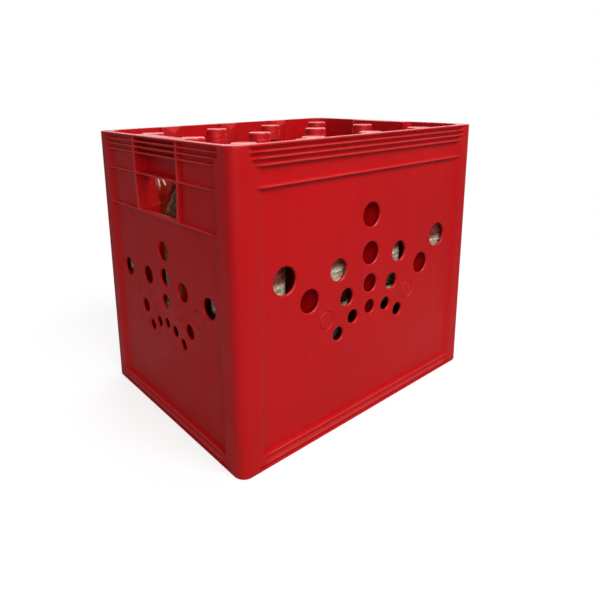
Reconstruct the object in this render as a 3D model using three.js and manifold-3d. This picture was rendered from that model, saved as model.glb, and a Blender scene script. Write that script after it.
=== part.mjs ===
// A moulded plastic bottle crate with its twelve filled glass bottles.
// Millimetres, +Z up. The origin is the middle of the underside: the crate's length runs along X
// and its width along Y. The hand holds are in the two short sides.
import * as THREE from "three";
import { mergeVertices } from "three/addons/utils/BufferGeometryUtils.js";
import Module from "manifold-3d";

// Crate: outer size, walls and floor
const LENGTH = 400;
const WIDTH = 300;
const HEIGHT = 346;
const CORNER_RADIUS = 13;
const RECESS = 5; // how far a panel lies behind the ribs and the corner columns
const WALL = 2.8;
const FLOOR_LOW = 4.4;
const FLOOR_TOP = 7;
const FOOT_WIDTH = 4.5; // ribs of the underside
const DRAIN_RADIUS = 25;

// Cells: four along X and three along Y
const COLUMNS = 4;
const ROWS = 3;
const PITCH = 98.5;
const WEB = 2.6; // thickness of a divider
const CELL_RADIUS = 8;
const CORNER_CELL_RADIUS = 30;
// Each divider meets the wall in a thick wedge: [half width, distance from the inside of the wall]
const WEDGE = [[16.5, -1], [15.6, 4.4], [2.2, 12.2]];
const SHORT_WEDGE_TOP = 238; // on the short sides they stop under the hand hold

// Dividers are high where they meet a wall and low between the bottles:
// [distance from the outer face, height], from the rim down to the low part
const GUSSET = [[20, HEIGHT], [22, 304], [29, 258], [40, 233], [56, 220]];

// Ribs: the height of each top edge
const RIB = 2.3; // thickness
const RIM_RIBS = [339.3, 333, 326.4];
const LONG_RIB = 305.9;
const GRIP_RIB = 303.3; // under the grip of the hand hold
const SILL_RIB = 258.4; // under its opening
const BASE_RIBS = [17.3, 7.4];
const BASE_STRIP = 2.6;

// Half lengths of the recessed bands between the ribs, from the rim down, and the run over which
// a band rises to the corner columns
const LONG_HALVES = [182, 182, 179, 176, 176, 177, 181];
const SHORT_UPPER_HALVES = [129, 129, 124, 123, 123];
const SHORT_LOWER_HALVES = [123, 118, 126];
const RIM_FADE = 10;
const LONG_FADE = 15;
const SHORT_FADE = 9;

// Hand hold in each short side
const GRIP_RECESS = 16;
const GRIP_WALL = 2.6;
const GRIP_LIP = 296.5; // lower edge of the inner wall that the fingers reach round
const CHEEK_DEPTH = 27; // the sloping cheeks beside the opening, from the outer face inwards
const CHEEK_TAPER = 30; // how far a cheek runs out below the sill
const RIDGE = 3; // thickness of the upright ridge on each side of the hand hold
const RIDGE_TOP = 48; // its inner face from the rim down to the grip rib
const RIDGE_LOW = 44.5; // its inner face at the sill

// Round vents [distance from the middle of the side, height, radius], in rays that meet low down.
// A vent in front of a wedge is a blind hole.
const VENT_DEPTH = 7; // from the panel inwards
const FINE_VENT = 9; // smaller ones have fewer sides
const LONG_MIDDLE_VENTS = [[0, 251.6, 14.6], [0, 205, 13.9], [0, 167.5, 11], [0, 137.5, 8.4]];
const LONG_RAY_VENTS = [
  [134.7, 202.8, 15.5], [99.5, 171.1, 13.4], [54.5, 118.7, 8.2],
  [54.1, 196.1, 12.9], [40.3, 160.1, 10.4], [29.6, 133, 8.3],
];
const SHORT_MIDDLE_VENTS = [[0, 214.3, 11.7], [0, 183.1, 10.2], [0, 153.3, 8.2], [0, 125.4, 6.1]];
const SHORT_RAY_VENTS = [
  [94.3, 173.4, 11.7], [52.4, 132.4, 8.3], [36.8, 111.5, 6.3],
  [40.7, 175.7, 10.7], [18.9, 121.2, 6.4],
];

// Bottle: profile points [radius, height above its base]
const BOTTLE_SIDES = 10;
const CAP_SIDES = 12;
const GAP = 0.3; // between pieces that touch
const MOUTH = 332.3;
const CAP_TOP = 335;
const CAP_LOW = 315;
const CAP_RADIUS = 14;
const CAP_SKIRT = 14.7;
const CAP_BORE = 13;
const DRINK_LEVEL = 280;
const GLASS_OUTSIDE = [
  [37, 0], [41.3, 7], [42, 139], [40.4, 141], [40.4, 207], [42.3, 212], [42.3, 228],
  [38.6, 251], [20.6, 289], [22, 299], [22, 305], [12.2, 312], [12.2, MOUTH],
];
const GLASS_INSIDE = [[9.4, MOUTH], [9.4, 309], [34.6, 251], [37.4, 228], [37.2, 7]];
const LABEL_LOW = 145;
const LABEL_TOP = 203;
const LABEL_RADIUS = 40.4;
const LABEL_SKIN = 0.4;
const LABEL_STEPS = 5; // of the ten sides of the bottle

const wasm = await Module();
wasm.setup();

// Solids from three.js geometry and back
function solid(geometry) {
  geometry.deleteAttribute("normal");
  geometry.deleteAttribute("uv");
  const merged = mergeVertices(geometry, 1e-4);
  const mesh = new wasm.Mesh({
    numProp: 3,
    vertProperties: merged.attributes.position.array,
    triVerts: new Uint32Array(merged.index.array),
  });
  return new wasm.Manifold(mesh);
}

function geometryOf(body) {
  const mesh = body.getMesh();
  const geometry = new THREE.BufferGeometry();
  geometry.setAttribute("position", new THREE.BufferAttribute(mesh.vertProperties, 3));
  geometry.setIndex(new THREE.BufferAttribute(mesh.triVerts, 1));
  geometry.computeVertexNormals();
  return geometry;
}

// An outline pushed along one axis from low to high. The outline's two numbers are
// (x, y) for axis z, (y, z) for axis x and (x, z) for axis y.
function prism(outline, axis, low, high, curveSegments = 3) {
  const shape = outline instanceof THREE.Shape
    ? outline
    : new THREE.Shape(outline.map(([a, b]) => new THREE.Vector2(a, b)));
  const options = { depth: high - low, bevelEnabled: false, curveSegments };
  const geometry = new THREE.ExtrudeGeometry(shape, options);
  const turn = new THREE.Matrix4();
  if (axis === "z") {
    turn.makeTranslation(0, 0, low);
  } else if (axis === "x") {
    turn.makeBasis(
      new THREE.Vector3(0, 1, 0), new THREE.Vector3(0, 0, 1), new THREE.Vector3(1, 0, 0));
    turn.setPosition(low, 0, 0);
  } else {
    turn.makeBasis(
      new THREE.Vector3(1, 0, 0), new THREE.Vector3(0, 0, 1), new THREE.Vector3(0, -1, 0));
    turn.setPosition(0, high, 0);
  }
  return geometry.applyMatrix4(turn);
}

function box(x0, x1, y0, y1, z0, z1) {
  return prism([[x0, y0], [x1, y0], [x1, y1], [x0, y1]], "z", z0, z1);
}

// A rectangle with a radius for each corner, in the order low-low, high-low, high-high, low-high
function roundedRectangle(x0, y0, x1, y1, radii) {
  const [a, b, c, d] = radii;
  const shape = new THREE.Shape();
  shape.moveTo(x0 + a, y0);
  shape.lineTo(x1 - b, y0);
  shape.absarc(x1 - b, y0 + b, b, -Math.PI / 2, 0);
  shape.lineTo(x1, y1 - c);
  shape.absarc(x1 - c, y1 - c, c, 0, Math.PI / 2);
  shape.lineTo(x0 + d, y1);
  shape.absarc(x0 + d, y1 - d, d, Math.PI / 2, Math.PI);
  shape.lineTo(x0, y0 + a);
  shape.absarc(x0 + a, y0 + a, a, Math.PI, Math.PI * 1.5);
  return shape;
}

// A geometry and its copy half a turn round Z, for the opposite side of the crate
function bothSides(geometry) {
  return [solid(geometry.clone()), solid(geometry.clone().rotateZ(Math.PI))];
}

function cutAll(body, cutters) {
  return cutters.reduce((left, cutter) => left.subtract(cutter), body);
}

function joinAll(body, pieces) {
  return pieces.reduce((left, piece) => left.add(piece), body);
}

// Cells that hold the bottles
const halfLength = LENGTH / 2;
const halfWidth = WIDTH / 2;
const insideX = halfLength - RECESS - WALL;
const insideY = halfWidth - RECESS - WALL;

function cellBounds(index, count, inside) {
  const middle = count / 2;
  const low = index === 0 ? -inside : (index - middle) * PITCH + WEB / 2;
  const high = index === count - 1 ? inside : (index + 1 - middle) * PITCH - WEB / 2;
  return [low, high];
}

function cellRadii(column, row, plain, corner) {
  const west = column === 0;
  const east = column === COLUMNS - 1;
  const south = row === 0;
  const north = row === ROWS - 1;
  return [
    west && south ? corner : plain,
    east && south ? corner : plain,
    east && north ? corner : plain,
    west && north ? corner : plain,
  ];
}

function cellCutters() {
  const cutters = [];
  for (let column = 0; column < COLUMNS; column += 1) {
    for (let row = 0; row < ROWS; row += 1) {
      const [x0, x1] = cellBounds(column, COLUMNS, insideX);
      const [y0, y1] = cellBounds(row, ROWS, insideY);
      const radii = cellRadii(column, row, CELL_RADIUS, CORNER_CELL_RADIUS);
      const cell = roundedRectangle(x0, y0, x1, y1, radii);
      const segments = Math.max(...radii) > CELL_RADIUS ? 2 : 1;
      cutters.push(solid(prism(cell, "z", FLOOR_TOP, HEIGHT + 1, segments)));
    }
  }
  return cutters;
}

// The wedges that join the dividers to the walls
function wedges() {
  const left = WEDGE.map(([half, depth]) => [-half, depth]);
  const right = WEDGE.map(([half, depth]) => [half, depth]).reverse();
  const outline = [...left, ...right];
  const pieces = [];
  [-PITCH, 0, PITCH].forEach((x) => {
    const points = outline.map(([u, depth]) => [x + u, depth - insideY]);
    pieces.push(...bothSides(prism(points, "z", FLOOR_TOP - 1, HEIGHT)));
  });
  [-PITCH / 2, PITCH / 2].forEach((y) => {
    const points = outline.map(([u, depth]) => [depth - insideX, y + u]).reverse();
    pieces.push(...bothSides(prism(points, "z", FLOOR_TOP - 1, SHORT_WEDGE_TOP)));
  });
  return pieces;
}

// The free space over the dividers: what both profiles leave open between the gussets
function upperSpace() {
  const profile = (half) => {
    const left = GUSSET.map(([inset, z]) => [inset - half, z]);
    const right = left.map(([u, z]) => [-u, z]).reverse();
    return [[left[0][0], HEIGHT + 1], ...left, ...right, [right.at(-1)[0], HEIGHT + 1]];
  };
  const along = solid(prism(profile(halfLength), "y", -insideY, insideY));
  const across = solid(prism(profile(halfWidth), "x", -insideX, insideX));
  return along.intersect(across);
}

// The underside: a pocket under each cell between the foot ribs, with a drain opening
function undersideCutters() {
  const cutters = [];
  for (let column = 0; column < COLUMNS; column += 1) {
    for (let row = 0; row < ROWS; row += 1) {
      const [x0, x1] = cellBounds(column, COLUMNS, insideX);
      const [y0, y1] = cellBounds(row, ROWS, insideY);
      const rib = (FOOT_WIDTH - WEB) / 2;
      cutters.push(solid(box(x0 + rib, x1 - rib, y0 + rib, y1 - rib, -1, FLOOR_LOW)));
      const drain = new THREE.CylinderGeometry(DRAIN_RADIUS, DRAIN_RADIUS, 12, 8);
      drain.rotateX(Math.PI / 2);
      drain.translate((column - 1.5) * PITCH, (row - 1) * PITCH, FLOOR_TOP - 1);
      cutters.push(solid(drain));
    }
  }
  return cutters;
}

// Outline of a recessed band seen from above, between two places along a side. Its floor lies
// behind the ribs and rises to the outer face at each end, in an S curve or, over no run, at once.
function recessOutline(low, high, fadeLow, fadeHigh) {
  const rise = (fade) => {
    const steps = fade > 0 ? 3 : 0;
    return Array.from({ length: steps }, (_, i) => {
      const share = (i + 1) / steps;
      return [fade * share, RECESS * (1 - Math.cos(Math.PI * share)) / 2];
    });
  };
  const start = fadeLow > 0 ? [[low, -1], [low, 0]] : [[low, -1], [low, RECESS]];
  const finish = fadeHigh > 0 ? [[high, 0], [high, -1]] : [[high, RECESS], [high, -1]];
  return [
    ...start,
    ...rise(fadeLow).map(([run, depth]) => [low + run, depth]),
    ...rise(fadeHigh).map(([run, depth]) => [high - run, depth]).reverse(),
    ...finish,
  ];
}

// The bands between ribs, each with its own half length
function bands(ribTops, halves) {
  return halves.map((half, i) => ({ top: ribTops[i] - RIB, low: ribTops[i + 1], half }));
}

const onLongSide = (points) => points.map(([u, depth]) => [u, depth - halfWidth]);
const onShortSide = (points) => points.map(([u, depth]) => [depth - halfLength, u]).reverse();

function longSideCutters() {
  const tops = [HEIGHT, ...RIM_RIBS, LONG_RIB, ...BASE_RIBS, BASE_STRIP];
  return bands(tops, LONG_HALVES).flatMap(({ top, low, half }, i) => {
    const fade = i < RIM_RIBS.length ? RIM_FADE : LONG_FADE;
    return bothSides(prism(onLongSide(recessOutline(-half, half, fade, fade)), "z", low, top));
  });
}

// The upright ridges beside the hand hold: plumb down to the grip rib, then leaning inwards
function ridges() {
  const ridge = (side) => solid(prism([
    [side * RIDGE_TOP, HEIGHT], [side * (RIDGE_TOP + RIDGE), HEIGHT],
    [side * (RIDGE_TOP + RIDGE), GRIP_RIB], [side * (RIDGE_LOW + RIDGE), SILL_RIB],
    [side * RIDGE_LOW, SILL_RIB], [side * RIDGE_TOP, GRIP_RIB],
  ], "x", -halfLength - 1, -halfLength + RECESS));
  return ridge(1).add(ridge(-1));
}

// Above the sill a band runs from each ridge to the corner column, and between the ridges lies
// the deep recess of the hand hold. Below the sill it runs from column to column.
function shortSideCutters() {
  const ridge = ridges();
  const upperTops = [HEIGHT, ...RIM_RIBS, GRIP_RIB, SILL_RIB];
  const upper = bands(upperTops, SHORT_UPPER_HALVES).flatMap(({ top, low, half }) => {
    const beside = [
      recessOutline(RIDGE_LOW + RIDGE / 2, half, 0, SHORT_FADE),
      recessOutline(-half, -RIDGE_LOW - RIDGE / 2, SHORT_FADE, 0),
    ];
    return beside.map((outline) => {
      const band = solid(prism(onShortSide(outline), "z", low, top));
      return low < GRIP_RIB ? band.subtract(ridge) : band.subtract(ridge).subtract(gripShelf());
    });
  });
  const overGrip = bands(upperTops, SHORT_UPPER_HALVES).slice(0, -1);
  const deep = overGrip.map(({ top, low }) => solid(box(
    -halfLength - 1, -halfLength + GRIP_RECESS, -RIDGE_TOP, RIDGE_TOP, low, top)));
  const lowerTops = [SILL_RIB, ...BASE_RIBS, BASE_STRIP];
  const lower = bands(lowerTops, SHORT_LOWER_HALVES).map(({ top, low, half }) => solid(prism(
    onShortSide(recessOutline(-half, half, SHORT_FADE, SHORT_FADE)), "z", low, top)));
  return [...upper, ...deep, ...lower, gripOpening()]
    .flatMap((cutter) => bothSides(geometryOf(cutter)));
}

// The stretch of wall between the ridges, which the deep recess takes on its own
function gripShelf() {
  return solid(box(
    -halfLength - 2, -halfLength + GRIP_RECESS, -RIDGE_TOP, RIDGE_TOP, SILL_RIB, HEIGHT + 1));
}

// The opening that the fingers go through, narrower at the sill than under the grip
function gripOpening() {
  const outline = (high) => {
    const share = (high - SILL_RIB) / (GRIP_RIB - SILL_RIB);
    const half = RIDGE_LOW + (RIDGE_TOP - RIDGE_LOW) * share;
    return [[-RIDGE_LOW, SILL_RIB], [RIDGE_LOW, SILL_RIB], [half, high], [-half, high]];
  };
  const outside = -halfLength - 1;
  const front = prism(outline(GRIP_RIB - RIB), "x", outside, -halfLength + GRIP_RECESS);
  const through = prism(outline(GRIP_LIP), "x", outside, -halfLength + CHEEK_DEPTH + 1);
  return solid(front).add(solid(through));
}

// The hand hold's solid parts: the block that the recess is cut from, and the sloping cheeks
function gripPieces() {
  const start = -insideX - 1;
  const back = -halfLength + GRIP_RECESS + GRIP_WALL;
  const block = box(start, back, -RIDGE_TOP - 0.5, RIDGE_TOP + 0.5, GRIP_LIP, HEIGHT);
  const cheek = (side) => prism([
    [side * (RIDGE_TOP + 1), GRIP_RIB], [side * RIDGE_TOP, GRIP_RIB],
    [side * RIDGE_LOW, SILL_RIB], [side * (RIDGE_TOP + 1), SILL_RIB - CHEEK_TAPER],
  ], "x", start, -halfLength + CHEEK_DEPTH);
  return [block, cheek(1), cheek(-1)].flatMap(bothSides);
}

function ventCutters() {
  const depth = RECESS + VENT_DEPTH;
  const vent = ([u, z, radius], half, turn) => {
    const hole = new THREE.CylinderGeometry(radius, radius, depth + 1, radius < FINE_VENT ? 8 : 12);
    hole.translate(u, (depth - 1) / 2 - half, z);
    return bothSides(hole.rotateZ(turn));
  };
  const bothHands = (rays) => rays.flatMap(([u, z, radius]) => [[u, z, radius], [-u, z, radius]]);
  const long = [...LONG_MIDDLE_VENTS, ...bothHands(LONG_RAY_VENTS)];
  const short = [...SHORT_MIDDLE_VENTS, ...bothHands(SHORT_RAY_VENTS)];
  return [
    ...long.flatMap((hole) => vent(hole, halfWidth, 0)),
    ...short.flatMap((hole) => vent(hole, halfLength, -Math.PI / 2)),
  ];
}

function crateBody() {
  const corners = Array(4).fill(CORNER_RADIUS);
  const outline = roundedRectangle(-halfLength, -halfWidth, halfLength, halfWidth, corners);
  let body = solid(prism(outline, "z", 0, HEIGHT));
  body = cutAll(body, cellCutters());
  body = joinAll(body, wedges());
  body = body.subtract(upperSpace());
  body = joinAll(body, gripPieces());
  body = cutAll(body, longSideCutters());
  body = cutAll(body, shortSideCutters());
  body = cutAll(body, ventCutters());
  return cutAll(body, undersideCutters());
}

// Turned pieces of a bottle: a profile of [radius, height] points turned round the upright axis
function turned(profile, sides) {
  const points = profile.map(([radius, z]) => new THREE.Vector2(radius, z));
  return new THREE.LatheGeometry(points, sides, Math.PI / sides).rotateX(Math.PI / 2);
}

function glassGeometry() {
  return turned([[0, 0], ...GLASS_OUTSIDE, ...GLASS_INSIDE, [0, 7]], BOTTLE_SIDES);
}

// The drink follows the inside of the glass up to its level
function drinkGeometry() {
  const wall = [...GLASS_INSIDE].reverse().map(([radius, z]) => [radius - GAP, z + GAP]);
  const below = wall.filter(([, z]) => z < DRINK_LEVEL);
  const [lowRadius, lowZ] = below.at(-1);
  const [highRadius, highZ] = wall[below.length];
  const share = (DRINK_LEVEL - lowZ) / (highZ - lowZ);
  const surface = lowRadius + (highRadius - lowRadius) * share;
  return turned([[0, below[0][1]], ...below, [surface, DRINK_LEVEL], [0, DRINK_LEVEL]], BOTTLE_SIDES);
}

function capGeometry() {
  return turned([
    [0, MOUTH + GAP], [CAP_BORE, MOUTH + GAP], [CAP_BORE, CAP_LOW],
    [CAP_SKIRT, CAP_LOW], [CAP_RADIUS, CAP_TOP], [0, CAP_TOP],
  ], CAP_SIDES);
}

// The label lies round part of the bottle, its faces in line with the bottle's sides
function labelGeometry() {
  const ring = (radius) => Array.from({ length: LABEL_STEPS + 1 }, (_, i) => {
    const angle = (i - LABEL_STEPS / 2) * 2 * Math.PI / BOTTLE_SIDES;
    return [radius * Math.sin(angle), -radius * Math.cos(angle)];
  });
  const inner = LABEL_RADIUS + GAP;
  const outline = [...ring(inner + LABEL_SKIN), ...ring(inner).reverse()];
  return prism(outline, "z", LABEL_LOW, LABEL_TOP);
}

const material = (color, roughness, extra = {}) =>
  new THREE.MeshStandardMaterial({ color, roughness, metalness: 0, ...extra });
const crateRed = material(0xb81c20, 0.42);
const clearGlass = material(0xdfe8e6, 0.06, { transparent: true, opacity: 0.35 });
const yellowDrink = material(0xf8d000, 0.12, { transparent: true, opacity: 0.8 });
const capRed = material(0xc8161c, 0.38);
const labelYellow = material(0xffdc00, 0.45);

const crate = new THREE.Group();

function addPiece(parent, name, geometry, finish) {
  const mesh = new THREE.Mesh(geometry, finish);
  mesh.name = name;
  parent.add(mesh);
}

addPiece(crate, "crate", geometryOf(crateBody()), crateRed);

// The open side of a label faces the nearest outer wall
function labelTurn(column, row) {
  const east = Math.sign(column - 1.5) * (column % (COLUMNS - 1) === 0 ? 1 : 0);
  const north = row - 1;
  if (east === 0 && north === 0) return 0;
  return Math.atan2(-north, -east) + Math.PI / 2;
}

for (let column = 0; column < COLUMNS; column += 1) {
  for (let row = 0; row < ROWS; row += 1) {
    const bottle = new THREE.Group();
    bottle.position.set((column - 1.5) * PITCH, (row - 1) * PITCH, FLOOR_TOP + GAP);
    bottle.rotation.z = labelTurn(column, row);
    const place = `r${row + 1}c${column + 1}`;
    addPiece(bottle, `glass_${place}`, glassGeometry(), clearGlass);
    addPiece(bottle, `drink_${place}`, drinkGeometry(), yellowDrink);
    addPiece(bottle, `cap_${place}`, capGeometry(), capRed);
    addPiece(bottle, `label_${place}`, labelGeometry(), labelYellow);
    crate.add(bottle);
  }
}

export default crate;
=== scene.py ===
# %% [markdown]
# # A full crate of bottles
#
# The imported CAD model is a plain, faceted crate with twelve filled glass bottles. It fixes every
# size and every place. This lesson dresses it: each CAD solid gets a finer mesh of the same size
# on the same spot, and a finish that is made of shader nodes.

# %% Load the frame
import math
from contextlib import contextmanager

import bmesh
import bpy
import numpy as np
from mathutils import Matrix, Vector


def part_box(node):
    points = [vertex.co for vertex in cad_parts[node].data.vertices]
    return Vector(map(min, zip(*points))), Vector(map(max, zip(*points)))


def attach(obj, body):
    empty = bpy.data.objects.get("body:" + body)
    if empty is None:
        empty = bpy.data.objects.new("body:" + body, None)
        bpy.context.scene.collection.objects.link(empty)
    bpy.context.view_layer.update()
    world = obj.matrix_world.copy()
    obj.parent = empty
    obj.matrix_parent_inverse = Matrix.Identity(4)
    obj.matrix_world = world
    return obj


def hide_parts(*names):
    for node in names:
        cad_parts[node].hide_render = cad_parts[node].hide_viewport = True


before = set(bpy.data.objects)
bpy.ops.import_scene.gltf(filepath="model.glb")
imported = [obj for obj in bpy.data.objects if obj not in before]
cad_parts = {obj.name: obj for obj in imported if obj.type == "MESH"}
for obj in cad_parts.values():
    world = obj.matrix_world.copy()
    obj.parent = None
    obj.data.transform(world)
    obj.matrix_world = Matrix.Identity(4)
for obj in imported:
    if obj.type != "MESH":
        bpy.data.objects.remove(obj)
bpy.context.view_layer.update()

# %% [markdown]
# ## The camera
#
# The eye stands left of the long side, a little above the rim. Its place, the lens and the small
# roll come from fitting the crate's edges to the picture. The lens axis doesn't meet the picture
# in its middle, so the rest is a lens shift.

# %% Add an object
def put(name, data):
    """A new object in the scene that shows a mesh, a lamp or a lens."""
    thing = bpy.data.objects.new(name, data)
    bpy.context.scene.collection.objects.link(thing)
    return thing


# %% Place the camera
PICTURE_SIDE = 600  # pixels
FOCAL_PIXELS = 529.7
AXIS_PIXEL = (276.1, 212.9)  # where the lens axis meets the picture, from the top left
SENSOR = 36  # millimetres
EYE = Vector((-0.47012, -0.53401, 0.39380))
AIM = Vector((-0.00808, 0.01896, 0.22726))
ROLL = math.radians(-0.814)

forward = (AIM - EYE).normalized()
level_right = forward.cross(Vector((0, 0, 1))).normalized()
level_up = level_right.cross(forward)
right = math.cos(ROLL) * level_right + math.sin(ROLL) * level_up
up = right.cross(forward)

lens = bpy.data.cameras.new("camera")
lens.sensor_width = SENSOR
lens.lens = SENSOR * FOCAL_PIXELS / PICTURE_SIDE
lens.shift_x = (PICTURE_SIDE / 2 - AXIS_PIXEL[0]) / PICTURE_SIDE
lens.shift_y = (AXIS_PIXEL[1] - PICTURE_SIDE / 2) / PICTURE_SIDE
lens.clip_start = 0.01
camera = put("camera", lens)
turned = Matrix((right, up, -forward)).transposed().to_4x4()
camera.matrix_world = Matrix.Translation(EYE) @ turned
bpy.context.scene.camera = camera
print("lens:", round(lens.lens, 2), "mm, shift:", round(lens.shift_x, 4), round(lens.shift_y, 4))

# %% [markdown]
# ## Meshes from millimetres
#
# A crate is drawn in millimetres, so the helpers take millimetres and write metres. Most parts of
# a moulded crate are outlines pushed along an axis, and most parts of a bottle are profiles turned
# round one, so a loft through rings of points and a lathe cover nearly everything.

# %% Mesh helpers
MM = 0.001


def build_mesh(name, points, faces):
    """A mesh object from points in millimetres."""
    mesh = bpy.data.meshes.new(name)
    mesh.from_pydata((np.asarray(points, float) * MM).tolist(), [], faces)
    mesh.validate()
    return put(name, mesh)


@contextmanager
def reshaped(mesh):
    """Opens a mesh for editing and writes the result back to it."""
    shape = bmesh.new()
    shape.from_mesh(mesh)
    yield shape
    shape.to_mesh(mesh)
    shape.free()


def ring_faces(rows, count, start=0):
    """The side faces between rings of points that follow each other."""
    faces = []
    for row in range(rows - 1):
        for i in range(count):
            low = start + row * count + i
            beside = start + row * count + (i + 1) % count
            faces.append((low, beside, beside + count, low + count))
    return faces


def loft(name, solids):
    """Closed solids, each through rings given from the bottom up, counterclockwise from above."""
    points, faces = [], []
    for rings in solids:
        rings = np.asarray(rings, float)
        rows, count = rings.shape[:2]
        start = len(points)
        last = start + (rows - 1) * count
        points.extend(rings.reshape(-1, 3).tolist())
        faces.extend(ring_faces(rows, count, start))
        faces.append(tuple(range(start + count - 1, start - 1, -1)))
        faces.append(tuple(range(last, last + count)))
    return build_mesh(name, points, faces)


def laid(outline, axis, level):
    """A flat outline as a ring across an axis: (y, z) for x, (x, z) for y, (x, y) for z."""
    first, second = np.asarray(outline, float).T
    third = np.full_like(first, level)
    if axis == "x":
        return np.column_stack([third, first, second])
    if axis == "y":
        return np.column_stack([first, third, second])[::-1]
    return np.column_stack([first, second, third])


def prism(outline, axis, low, high):
    return [laid(outline, axis, low), laid(outline, axis, high)]


# %% Rounded outlines
ARC_STEP = math.radians(9)


def round_corners(points, radii):
    """A closed outline with each corner swapped for an arc of its own radius."""
    points = [np.array(point, float) for point in points]
    result = []
    for i, (corner, radius) in enumerate(zip(points, radii)):
        if radius == 0:
            result.append(corner)
            continue
        back = points[i - 1] - corner
        ahead = points[(i + 1) % len(points)] - corner
        back /= np.linalg.norm(back)
        ahead /= np.linalg.norm(ahead)
        half_angle = math.acos(float(np.clip(back @ ahead, -1, 1))) / 2
        reach = radius / math.tan(half_angle)
        bisector = (back + ahead) / np.linalg.norm(back + ahead)
        centre = corner + bisector * radius / math.sin(half_angle)
        first = math.atan2(*(corner + back * reach - centre)[::-1])
        last = math.atan2(*(corner + ahead * reach - centre)[::-1])
        sweep = (last - first + math.pi) % (2 * math.pi) - math.pi
        steps = max(2, math.ceil(abs(sweep) / ARC_STEP))
        for share in np.linspace(0, 1, steps + 1):
            angle = first + sweep * share
            result.append(centre + radius * np.array([math.cos(angle), math.sin(angle)]))
    return np.array(result)


def widened(outline, amount):
    """A counterclockwise outline moved outwards by a small amount."""
    def outward(a, b):
        run = b - a
        return np.column_stack([run[:, 1], -run[:, 0]]) / np.linalg.norm(run, axis=1)[:, None]
    before = outward(np.roll(outline, 1, axis=0), outline)
    after = outward(outline, np.roll(outline, -1, axis=0))
    middle = before + after
    middle /= np.linalg.norm(middle, axis=1)[:, None]
    lean = np.clip((middle * before).sum(axis=1), 0.5, 1)
    return outline + middle * (amount / lean)[:, None]


def both_ends(solids):
    """The same solids and their copies half a turn round the upright axis."""
    half_turn = np.array([-1, -1, 1])
    return solids + [[ring * half_turn for ring in rings] for rings in solids]


# %% Solid arithmetic
def combine(body, tool, operation):
    """Cuts a tool from a body, joins it on or keeps what both share, and removes the tool."""
    step = body.modifiers.new(operation.lower(), "BOOLEAN")
    step.operation = operation
    step.solver = "MANIFOLD"
    step.object = tool
    evaluated = body.evaluated_get(bpy.context.evaluated_depsgraph_get())
    mesh = bpy.data.meshes.new_from_object(evaluated)
    body.modifiers.clear()
    body.data = mesh
    bpy.data.objects.remove(tool)


def cut(body, name, solids):
    """Cuts closed lofts from a body."""
    combine(body, loft(name, solids), "DIFFERENCE")
    print(name, len(solids), "cut, faces now", len(body.data.polygons))


# %% [markdown]
# ## The outer skin of the crate
#
# A bottle crate is one injection moulding. Its walls are thin panels behind a frame of ribs and
# four plain corner columns. The ribs run out towards the columns in soft points, because each
# recessed band between two ribs rises to the outer face in an S curve. Booleans would give hard
# steps there, so the outside is one closed loft of rings: each ring is a level of the crate, and a
# depth map tells how far behind the outer face each of its points lies.

# %% Sizes of the skin
crate_low, crate_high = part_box("crate")
LENGTH, WIDTH, HEIGHT = ((crate_high - crate_low) / MM)
HALF_LENGTH, HALF_WIDTH = LENGTH / 2, WIDTH / 2
CORNER_RADIUS = 13
RECESS = 4.3  # panel behind the ribs
RIM_WIDTH = 7.8  # from the outer face to the cells
PANEL = 2.8  # thickness that shows in a vent
RIB = 2.3  # thickness of a rib
TIP_ROUND = RIB / 2  # a rib's tip is half round
EDGE_ROUND = 0.9  # rounding of the rim and of the foot
RIM_TOPS = [340, 333.8, 327.2]
LONG_TOP = 305.9
GRIP_TOP = 303.3  # the rib that the hand holds
SILL_TOP = 258.4  # the rib under the hand hold
BASE_TOPS = [17.3, 7.4]
BASE_STRIP = 2.6
RIM_FADE, LONG_FADE, SHORT_FADE = 11, 16, 10
GRIP_RECESS = 16
RIM_RECESS = 9  # between the rim's ribs over the hand hold
RIDGE_LEAN = 3.5  # the ridges beside the hand hold come nearer below the grip

long_tops = [HEIGHT, *RIM_TOPS, LONG_TOP, *BASE_TOPS, BASE_STRIP]
long_halves = [182, 182, 179, 176, 176, 177, 181]
short_tops = [HEIGHT, *RIM_TOPS, GRIP_TOP, SILL_TOP, *BASE_TOPS, BASE_STRIP]
short_halves = [129, 129, 124, 123, 123, 123, 118, 126]
print("crate:", round(LENGTH), "x", round(WIDTH), "x", round(HEIGHT), "mm")

# %% Levels of a side
# One row of a side: its height, how much of the recess it takes, its tip rounding, where the band
# ends and over what length it rises to the outer face there.
def band_rows(low, top, half, fade):
    lower = [(low, 0, TIP_ROUND), (low + 0.3, 0.9, 0), (low + 0.55, 0.97, 0), (low + 1.05, 1, 0)]
    upper = [(top - 1.05, 1, 0), (top - 0.55, 0.97, 0), (top - 0.3, 0.9, 0), (top, 0, TIP_ROUND)]
    return [(z, share, rounding, half, fade) for z, share, rounding in lower + upper]


def base_rows(low, top, half, fade):
    """The band over the foot leans outwards, so that water and dirt run off."""
    rows = [(low, 0.04, TIP_ROUND / 4), (low + 1, 0.12, 0), (top - 1.05, 0.62, 0),
            (top - 0.55, 0.6, 0), (top - 0.3, 0.5, 0), (top, 0, TIP_ROUND)]
    return [(z, share, rounding, half, fade) for z, share, rounding in rows]


def tip_rows(top, half, fade):
    rows = []
    for aside in (-0.92, -0.72, -0.42, 0, 0.42, 0.72, 0.92):
        rounding = TIP_ROUND * (1 - math.sqrt(1 - aside ** 2))
        rows.append((top - TIP_ROUND * (1 - aside), 0, rounding, half, fade))
    return rows


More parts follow.
